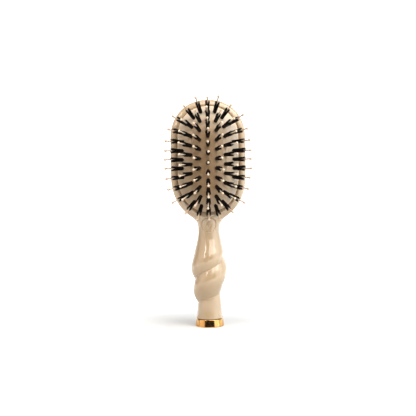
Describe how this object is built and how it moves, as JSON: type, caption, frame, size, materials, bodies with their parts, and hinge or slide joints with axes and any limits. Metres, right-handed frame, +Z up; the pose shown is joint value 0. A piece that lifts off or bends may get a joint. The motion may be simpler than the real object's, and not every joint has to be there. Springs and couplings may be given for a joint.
{
  "type": "vanity hairbrush",
  "caption": "Cushioned paddle hairbrush with bristle and ball-tipped pin tufts on a sprung dome, twisted grip and metal end cap on which it stands.",
  "frame": {"origin": "centre of the end cap's flat foot, on which the brush stands", "axes": "+Z up the grip to the head, -Y out of the bristle face, +X to the right seen from the bristle face"},
  "size_m": [0.0828, 0.0552, 0.2198],
  "materials": {
    "acetate": "polished, warm cream",
    "gold": "polished gold plate",
    "rubber": "smooth satin cream rubber",
    "bristle": "natural bristle, near black",
    "nylon": "satin nylon",
    "fibreboard": "plain hidden ring"
  },
  "bodies": {
    "root": {"body": "acetate", "end_cap": "gold", "cushion_retainer": "fibreboard", "cushion_pad": "rubber"},
    "tufts_centre": {"bristles_centre": "bristle", "pins_centre": "nylon"},
    "tufts_inner": {"bristles_inner_left": "bristle", "pins_inner_left": "nylon", "bristles_inner_right": "bristle", "pins_inner_right": "nylon", "bristles_inner_top": "bristle", "pins_inner_top": "nylon", "bristles_inner_bottom": "bristle", "pins_inner_bottom": "nylon"},
    "tufts_outer": {"bristles_outer_left": "bristle", "pins_outer_left": "nylon", "bristles_outer_right": "bristle", "pins_outer_right": "nylon", "bristles_outer_top": "bristle", "pins_outer_top": "nylon", "bristles_outer_bottom": "bristle", "pins_outer_bottom": "nylon"},
    "tufts_edge": {"bristles_edge_left": "bristle", "pins_edge_left": "nylon", "bristles_edge_right": "bristle", "pins_edge_right": "nylon", "bristles_edge_top": "bristle", "pins_edge_top": "nylon", "bristles_edge_bottom": "bristle", "pins_edge_bottom": "nylon"}
  },
  "joints": [
    {"name": "cushion_press", "type": "slide", "parent": "root", "child": "tufts_centre", "axis": [0, 1, 0], "range_m": [0, 0.006], "stiffness_N_per_m": 1000, "deforming": ["cushion_pad"]},
    {"name": "inner_ring_press", "type": "slide", "parent": "root", "child": "tufts_inner", "axis": [0, 1, 0], "range_m": [0, 0.00552], "stiffness_N_per_m": 1000, "deforming": ["cushion_pad"]},
    {"name": "outer_ring_press", "type": "slide", "parent": "root", "child": "tufts_outer", "axis": [0, 1, 0], "range_m": [0, 0.0042], "stiffness_N_per_m": 1000, "deforming": ["cushion_pad"]},
    {"name": "edge_ring_press", "type": "slide", "parent": "root", "child": "tufts_edge", "axis": [0, 1, 0], "range_m": [0, 0.0021], "stiffness_N_per_m": 1000, "deforming": ["cushion_pad"]}
  ],
  "couplings": [
    {"joint": "inner_ring_press", "follows": "cushion_press", "ratio": 0.92},
    {"joint": "outer_ring_press", "follows": "cushion_press", "ratio": 0.7},
    {"joint": "edge_ring_press", "follows": "cushion_press", "ratio": 0.35}
  ]
}
